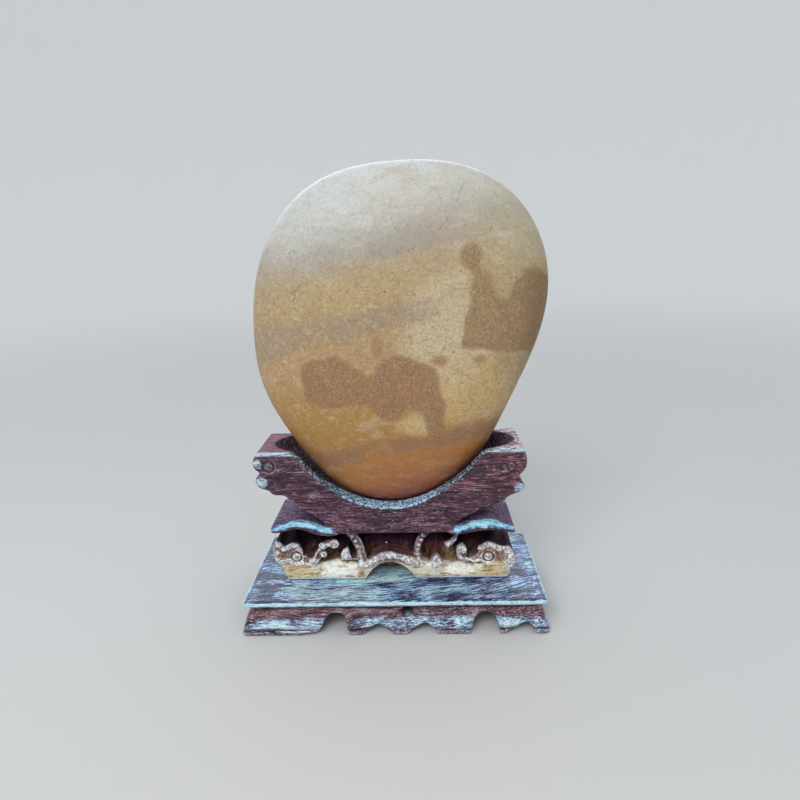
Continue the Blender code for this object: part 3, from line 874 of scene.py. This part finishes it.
def wood_grain(paint, carved):
    """The wood's noises and surface, with the grain along X."""
    grain = paint.wobble(30, 5, 1)
    if not carved:  # the plate is cut a little across the grain, more so towards its right end
        skew = paint.x * -0.16 - paint.x * paint.x * 0.0013
        grain = paint.vector("ADD", grain, paint.vector("MULTIPLY", skew, (0, 1, 0)))
    wood = SimpleNamespace(
        figure=paint.noise(2.4, 3, 0.6, wide=12, at=grain),
        streak=paint.noise(0.75, 3, 0.62, wide=15, shift=5, at=grain),
        hair=paint.noise(0.34, 2, 0.6, wide=14, shift=7, at=grain),
        pores=paint.noise(0.42, 1, 0.5, wide=12, shift=9, at=grain).step(0.56, 0.66),
        patch=paint.noise(12, 3, 0.55, wide=1.9, shift=15),
        fleck=paint.noise(0.6, 2, 0.6, wide=2, shift=45),
        relief=paint.attribute("relief"),
        up=paint.facing(2),
    )
    tone = wood.streak * 0.36 + wood.hair * 0.3 + wood.figure * 0.16 + wood.fleck * 0.18
    years = paint.blob(grain, (0, 9, -40), (1e5, 1, 1)) * 2.3
    end_grain = abs(paint.facing(0)).step(0.55, 0.9) * 0.62
    wood.tone = tone + (years.math("SINE") * 0.022 + 0.495 - tone) * end_grain
    return wood


def wood_material(name, marks, tones, sheen_tones, sheen_share, carved):
    """Dark open-grained hardwood, lacquered, with a pale-blue sheen of the sky painted onto its upward
    surfaces.

    tones go with the marks from the bottom of the grain to its crests, bare and under the painted sheen;
    the sheen's share is how much of an upward surface the painted sheen covers.
    """
    paint = Paint(name)
    wood = wood_grain(paint, carved)
    paint.colour = paint.ramp(wood.tone + (wood.patch - 0.5) * 0.1, tuple(zip(marks, tones)))
    paint.coat((paint.x * 0.0016 + wood.patch).step(0.5, 0.72) * 0.6, (1.2, 0.86, 0.62), "MULTIPLY")
    rub = (wood.patch - 0.5) * -0.34
    # Painted sheen: the sky's pale blue reflection laid as colour on the upward-facing wood.
    painted_sheen = wood.up.step(0.12, 0.7) * sheen_share
    # Rubbed wear on convex edges, with a painted pale-blue highlight.
    wear_and_highlight = (wood.relief + (wood.fleck - 0.5) * 0.6).step(0.6, 0.86) * wood.up.step(-0.6, 0.2)
    if carved:
        wood.mottle = paint.noise(3.4, 3, 0.6, wide=1.8, shift=25)
        sheened_colour = paint.ramp(wood.tone + rub, tuple(zip(marks, sheen_tones)))
        painted_sheen = painted_sheen * paint.z.step(56, 53).less(0.8)
        wear_and_highlight = wear_and_highlight * paint.z.step(54, 57).less(0.55)
        wood.pores = wood.pores * (paint.z.step(24, 33) * 0.75 + 0.25)
    else:
        sheened_colour = plate_sheen(paint, wood, rub, tuple(zip(marks, sheen_tones)))
    paint.coat(painted_sheen, sheened_colour)
    paint.coat(wear_and_highlight * 0.7, (0.46, 0.52, 0.58))
    gloss = wood.streak * 0.25 + wood.patch * 0.15 + 0.14
    shine = 1
    if carved:
        shaded_recess, fluting = waist_colours(paint, wood)
        dull = shaded_recess.most(cradle_colours(paint, wood, fluting))
        shine = dull.less(0.9)
        gloss = gloss + dull * 0.4
    else:
        base_colours(paint, wood)
    # Painted shade: the wood darkened in its hollows.
    paint.coat(wood.relief.step(0.4, 0.15) * 0.75, BLACK_BROWN)
    paint.coat(wood.pores * 0.5, BLACK_BROWN)
    ripple = paint.bump(paint.noise(3.2, 2, 0.5, wide=4, shift=31), 0.45)
    ripple = paint.bump(wood.streak * 0.6 + wood.hair * 0.4, 0.34, below=ripple)
    ripple = paint.bump(wood.pores.less(), 0.12, below=ripple)
    return paint.finish(Roughness=gloss, Specular_IOR_Level=shine * 0.4, Normal=ripple,
                        Coat_Weight=shine * 0.12, Coat_Roughness=0.25)


def plate_sheen(paint, wood, rub, stops):
    """The base's colour under its painted sheen of the sky, brighter in front left of the middle as a painted
    highlight and dimmer towards the left end, with furrows and violet streaks.
    """
    # Painted highlight in front left of the middle; the sheen is dimmer towards the left end.
    painted_front_highlight = paint.blob(paint.place, (-32, -24, 17), (24, 16, 30)).step(8, -8)
    rub = rub + painted_front_highlight * 0.054 - paint.x.step(-46, -64) * 0.046 - 0.006
    sheened_colour = paint.ramp(wood.tone + rub, stops)
    furrows = (wood.hair * 0.6 + wood.streak * 0.4).step(0.492, 0.415)
    behind_edge = paint.plate_edge() + (wood.patch - 0.5) * 1.5
    furrows = furrows.most(abs(behind_edge + 1.5).step(0.7, 0.2) * 0.8)
    sheened_colour = paint.mix(furrows * 0.8, sheened_colour, (0.026, 0.024, 0.065))
    violet = (wood.figure * 0.5 + wood.patch * 0.5 + abs(paint.x) * 0.0007).step(0.5, 0.6)
    return paint.mix(violet * 0.75, sheened_colour, (1.32, 0.8, 0.84), "MULTIPLY")


def base_colours(paint, wood):
    """The base's painted highlight on the plate's edge, painted reflection under the arch, maroon hollow
    moulding darkened by painted shade, and painted highlight on the apron's swell.
    """
    rim = paint.plate_edge()
    # Painted highlight along the plate's rounded edge.
    edge = rim.step(-0.8, 0.4) * paint.z.step(15.3, 15.9)
    paint.coat((edge + (wood.tone - 0.5) * 1.6).step(0.25, 0.75) * 0.92, (0.58, 0.87, 1))
    # Painted reflection of the sky on the plate under the arch, where it lies in shadow.
    under_arch_reflection = paint.blob(paint.place, (-2, 0, 18), (12.5, 60, 9)).step(1.5, -1.5)
    under_arch_reflection = under_arch_reflection * abs(paint.y).step(17.5, 14.5)
    painted_sky = paint.mix(wood.tone.step(0.455, 0.495), (0.07, 0.27, 0.66), (0.72, 1, 1))
    paint.coat(under_arch_reflection * 0.95, painted_sky)
    outside = rim.step(-9, -7)
    level = paint.z + (wood.patch - 0.5) * 5
    # Painted shade: the hollow moulding under the plate's overhang in dark maroon.
    shaded_cove = level.step(7.6, 9.4) * paint.z.step(15, 14.2) * outside
    paint.coat(shaded_cove * 0.9, paint.ramp(wood.tone + (wood.patch - 0.5) * 0.12, (
        (0.44, (0.022, 0.005, 0.01)), (0.5, (0.15, 0.045, 0.065)), (0.54, (0.3, 0.13, 0.17)),
        (0.6, (0.55, 0.46, 0.56)),
    )))
    # Painted highlight on the apron's swell.
    swell = level.step(2.4, 4.4) * level.step(9.2, 7) * outside
    paint.coat(swell * 0.95, paint.ramp(wood.tone + (wood.patch - 0.52) * -0.5, (
        (0.43, (0.03, 0.008, 0.014)), (0.483, (0.15, 0.09, 0.15)), (0.525, (0.3, 0.49, 0.74)),
        (0.585, (0.7, 0.97, 1)),
    )))
    foot = paint.z.step(2.8, 1.2) * (wood.fleck * 0.6 + wood.patch * 0.4).step(0.44, 0.56)
    paint.coat(foot * 0.6, (0.5, 0.46, 0.47))


def waist_colours(paint, wood):
    """Sapwood rail, partly with painted highlights, ridges rubbed pale with painted highlights, and the
    recess darkened by painted shade; gives the recess and its fluting.
    """
    z, depth = paint.z, abs(paint.y)
    mottle, fleck, streak = wood.mottle, wood.fleck, wood.streak
    coat, mix = paint.coat, paint.mix
    lumps = paint.noise(1.5, 2, 0.55, shift=27)
    sap_line = z + (mottle - 0.5) * 6
    rail = sap_line.step(31, 26.5) * depth.step(7.5, 10.5)
    gold = mix((streak * 0.55 + mottle * 0.45).step(0.42, 0.54), (0.42, 0.235, 0.085),
               (0.9, 0.71, 0.34))
    # Paler patches on the rail: partly sapwood, partly painted highlight.
    ragged_x = paint.x + (mottle - 0.5) * 22
    white_line = z + (mottle - 0.5) * 5
    left_white = abs(ragged_x + 30).step(18, 6) * white_line.step(18.8, 21.2)
    right_white = abs(ragged_x - 32).step(16, 5) * white_line.step(19.6, 22.2)
    sapwood_and_highlight = left_white.most(right_white) * 0.5 + abs(ragged_x).step(46, 34) * 0.38 + 0.08
    gold = mix((mottle * 0.6 + streak * 0.4).step(0.41, 0.53) * sapwood_and_highlight, gold, (0.97, 1, 0.98))
    # Painted highlight: a pale blue line along the waist's bottom edge.
    gold = mix(z.step(19.7, 18.9) * 0.9, gold, (0.76, 0.97, 1))
    coat(rail * 0.95, gold)
    body = sap_line.step(42, 36) * sap_line.step(27, 30) * depth.step(12.6, 14.2)
    coat(body * 0.85, paint.ramp(mottle * 0.5 + lumps * 0.5, (
        (0.38, (0.11, 0.05, 0.045)), (0.46, (0.26, 0.135, 0.09)), (0.53, (0.46, 0.29, 0.19)),
        (0.62, (0.66, 0.55, 0.5)),
    )))
    # Painted highlight on the carving's crests.
    crest_highlight = (wood.relief + (fleck - 0.5) * 0.7).step(0.57, 0.82) * z.step(45, 42)
    coat(crest_highlight * depth.step(10.5, 12.5) * 0.85, (0.88, 0.91, 0.98))
    # The ridges rubbed pale, with a painted highlight: white below and lilac higher up.
    rubbed_and_highlit = paint.attribute("pale") * 1.2 + (fleck - 0.5) * 1.5 + (lumps - 0.5) * 1.5
    rubbed_and_highlit = (rubbed_and_highlit * wood.up.step(-0.8, 0)).step(0.25, 0.85)
    white = mix((lumps * 0.6 + fleck * 0.4).step(0.44, 0.55), (0.45, 0.35, 0.4), (0.94, 1, 1))
    lilac = mix(lumps.step(0.42, 0.6), (0.15, 0.1, 0.17), (0.56, 0.58, 0.74))
    coat(rubbed_and_highlit * 0.95, mix(z.step(35, 43), white, lilac))
    # Painted highlight: cream on the rail's upward-facing ledge.
    ledge = rail * wood.up.step(0.15, 0.5) * z.step(19.3, 20.6)
    cream = mix(lumps.step(0.38, 0.54), (0.8, 0.68, 0.43), (0.96, 1, 1))
    coat(ledge * ((mottle * 0.7 + streak * 0.3).step(0.38, 0.52) * 0.55 + 0.35), cream)
    # Painted shade in the recess and under the shoulders: darkest at the top, lighter lower down where light
    # reaches.
    shaded_recess = depth.step(13.9, 10.4) * z.step(19.5, 25) * z.step(49, 46.5) * ledge.less()
    fluting = paint.noise(0.9, 2, 0.6, tall=7, shift=57)
    shade = paint.ramp(z + (mottle - 0.5) * 5, (
        (26, (0.5, 0.33, 0.2)), (30.5, (0.27, 0.13, 0.105)), (34.5, (0.085, 0.03, 0.054)),
        (38, (0.02, 0.008, 0.022)), (46, (0.008, 0.003, 0.006)),
    ))
    coat(shaded_recess * 0.96, mix(fluting.step(0.6, 0.44) * 0.7, shade, (0.38, 0.33, 0.32), "MULTIPLY"))
    return shaded_recess, fluting


def cradle_colours(paint, wood, fluting):
    """Shoulders, lips with painted highlights, horns with painted highlight and shade, lobes with painted
    highlights, dimpled rim with painted glints, and pocket with painted shade; gives the lack of shine.
    """
    z, tone, fleck = paint.z, wood.tone, wood.fleck
    coat, mix = paint.coat, paint.mix
    lip = paint.attribute("lip")
    outer = abs(paint.x).step(50, 58)
    # Painted highlight on the shoulders' lips, dimmer at their outer ends.
    lip_highlight = paint.ramp(tone * 1.5 + lip * 0.28 - outer * 0.055 - 0.5, (
        (0.34, (0.08, 0.065, 0.15)), (0.39, (0.13, 0.26, 0.6)), (0.44, (0.23, 0.58, 1)),
        (0.5, (0.46, 0.9, 1)),
    ))
    over_waist = z.step(44, 46)
    shoulder_top = wood.up.step(0.1, 0.5) * over_waist * z.step(56, 53)
    haze = (wood.streak * 0.6 + fleck * 0.4).step(0.45, 0.56)
    plum = mix(haze, (0.048, 0.028, 0.05), (0.285, 0.168, 0.285))
    coat(shoulder_top * 0.85, plum)
    coat((lip + (fleck - 0.5) * 0.9).step(0.2, 0.8) * 0.92, lip_highlight)
    # Painted highlight on the horns' end knobs.
    ends = paint.attribute("ends") + (fleck - 0.5) * 0.8 + (wood.mottle - 0.5) * 1.2
    lobe_highlight = mix((wood.mottle * 0.5 + fleck * 0.5).step(0.4, 0.56), (0.24, 0.28, 0.42),
                (0.62, 0.76, 0.93))
    coat(ends.step(0.3, 0.75) * 0.9, lobe_highlight)
    # The horns' tops in mauve, with painted shade darkening the left horn's and painted light brightening the
    # right horn's.
    horn_top = wood.up.step(0.3, 0.7) * z.step(84, 86)
    mauve = mix(paint.x.step(-30, 40), (0.32, 0.095, 0.135), (0.9, 0.64, 0.71))
    coat(horn_top * 0.88, mix(haze, (0.1, 0.042, 0.062), mauve))
    # Painted highlight along the horns' top front edge.
    arris_highlight = abs(paint.y).step(13.8, 14.7) * z.step(86.9, 87.9)
    coat(arris_highlight * (tone * 4 - 1 + fleck * 0.5).step(0.9, 1.2) * 0.85, (0.62, 0.82, 0.96))
    # Painted reflection and glints on the dimpled rim, bluer and brighter towards its middle.
    dimples = paint.noise(1.15, 2, 0.5, shift=51)
    rim = paint.attribute("rim")
    centre = z.step(73, 59)
    glint = (dimples * 0.75 + tone * 0.25 + centre * 0.05 + (rim - 0.75) * 0.14).step(0.51, 0.575) * rim
    coat(rim * 0.95, mix(centre, (0.018, 0.014, 0.032), (0.035, 0.075, 0.21)))
    coat(glint * (centre * 0.45 + 0.5), (0.51, 0.8, 1))
    # Painted shade inside the pocket around the stone.
    hollow = mix(fluting.step(0.54, 0.44) * 0.6, BLACK_BROWN, (0.15, 0.11, 0.17))
    coat(paint.attribute("inside") * 0.93, hollow)
    return wood.up.step(0.2, 0.6) * over_waist * (rim * -0.8 + 0.8)


def floor_material():
    """Pale grey, a little lighter where the lamps no longer reach."""
    paint = Paint("pale_floor")
    paint.colour = paint.mix(paint.length(paint.place).step(300, 1700), (0.67, 0.67, 0.665), (0.9, 0.9, 0.89))
    return paint.finish(Roughness=0.8)


# --- stage, in metres ---
FLOOR_FLAT, FLOOR_BEND, FLOOR_TOP = 1.6, 0.9, 1.6
FLOOR_QUADS = 96  # around
LIGHTS_TARGET = (0, 0, 0.1)
CAMERA_PLACE = (0.0146, -0.2751, 0.1875)
CAMERA_DOWN, CAMERA_LEFT, CAMERA_ROLL = 15.75, 2.01, -1.86  # degrees
CAMERA_LENS = 25.965


def make_floor():
    """A round floor whose rim curves up, so that no horizon shows from any side."""
    profile = [(0.6, 0), (1.2, 0)]
    for step in range(13):
        turn = math.radians(7.5 * step)
        profile.append((FLOOR_FLAT + FLOOR_BEND * math.sin(turn), FLOOR_BEND - FLOOR_BEND * math.cos(turn)))
    profile.append((FLOOR_FLAT + FLOOR_BEND, FLOOR_TOP))
    turns = [2 * math.pi * number / FLOOR_QUADS for number in range(FLOOR_QUADS)]
    vertices = [(0, 0, 0)]
    for radius, height in profile:
        vertices += [(radius * math.cos(turn), radius * math.sin(turn), height) for turn in turns]
    faces = [(0, 1 + number, 1 + (number + 1) % FLOOR_QUADS) for number in range(FLOOR_QUADS)]
    for ring in range(len(profile) - 1):
        first = 1 + ring * FLOOR_QUADS
        for number in range(FLOOR_QUADS):
            here, following = first + number, first + (number + 1) % FLOOR_QUADS
            faces.append((here, here + FLOOR_QUADS, following + FLOOR_QUADS, following))
    made = add_mesh("floor", vertices, faces)
    made.data.shade_smooth()
    made.data.materials.append(floor_material())
    return made


def softbox(name, place, size, power, colour):
    light = bpy.data.lights.new(name, "AREA")
    light.shape = "RECTANGLE"
    light.size, light.size_y = size
    light.energy = power
    light.color = colour
    made = add_object(name, light)
    made.location = place
    made.rotation_euler = (Vector(LIGHTS_TARGET) - Vector(place)).to_track_quat("-Z", "Y").to_euler()
    return made


def make_lights():
    world = bpy.data.worlds.new("soft_sky")
    world.use_nodes = True
    background = world.node_tree.nodes["Background"]
    background.inputs["Color"].default_value = (0.9, 0.95, 1, 1)
    background.inputs["Strength"].default_value = 0.75
    bpy.context.scene.world = world
    behind = softbox("window_behind", place=(-0.15, 0.95, 0.75), size=(1.4, 0.6), power=12,
                     colour=(0.66, 0.86, 1))
    lit_by_window = bpy.data.collections.new("lit_by_window")  # the floor is left out of its light
    for made in (stone, carved, base):
        lit_by_window.objects.link(made)
    behind.light_linking.receiver_collection = lit_by_window
    softbox("front_left", place=(-0.3, -0.75, 0.85), size=(0.6, 0.45), power=5.2,
            colour=(1, 0.985, 0.96))
    bpy.context.scene.view_settings.view_transform = "Standard"


def make_camera():
    """Looks at the object as the photo does: from close by, a little above the stone's middle."""
    down, left, roll = (math.radians(angle) for angle in (CAMERA_DOWN, CAMERA_LEFT, CAMERA_ROLL))
    level = Vector((math.cos(left), math.sin(left), 0))
    forward = Vector((-math.sin(left) * math.cos(down), math.cos(left) * math.cos(down), -math.sin(down)))
    upright = level.cross(forward)
    right = level * math.cos(roll) + upright * math.sin(roll)
    up = upright * math.cos(roll) - level * math.sin(roll)
    camera = bpy.data.cameras.new("camera")
    camera.sensor_width = 36
    camera.lens = CAMERA_LENS
    camera.clip_start = 0.01
    made = add_object("camera", camera)
    turned = Matrix((right, up, -forward)).transposed().to_4x4()
    made.matrix_world = Matrix.Translation(CAMERA_PLACE) @ turned
    bpy.context.scene.camera = made


# --- pieces ---
stone = make_stone()
stone.data.materials.append(stone_material())
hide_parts("stone")
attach(stone, "root")

carved = make_carved_block()
carved.data.materials.append(wood_material(
    "carved_hardwood", sheen_share=0.6, carved=True, marks=(0.41, 0.47, 0.53, 0.59),
    tones=((0.004, 0.001, 0.003), (0.04, 0.01, 0.02), (0.125, 0.046, 0.084), (0.37, 0.215, 0.315)),
    sheen_tones=((0.026, 0.012, 0.022), (0.16, 0.09, 0.125), (0.37, 0.255, 0.315), (0.62, 0.52, 0.59))))
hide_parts("carved_cradle")
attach(carved, "root")

base = make_base()
base.data.materials.append(wood_material(
    "base_hardwood", sheen_share=0.97, carved=False, marks=(0.452, 0.485, 0.518, 0.56),
    tones=((0.006, 0.002, 0.005), (0.045, 0.014, 0.028), (0.13, 0.062, 0.105), (0.34, 0.25, 0.34)),
    sheen_tones=((0.008, 0.004, 0.018), (0.057, 0.06, 0.16), (0.175, 0.37, 0.8), (0.62, 0.96, 1))))
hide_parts("base")
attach(base, "root")

make_floor()
make_lights()
make_camera()
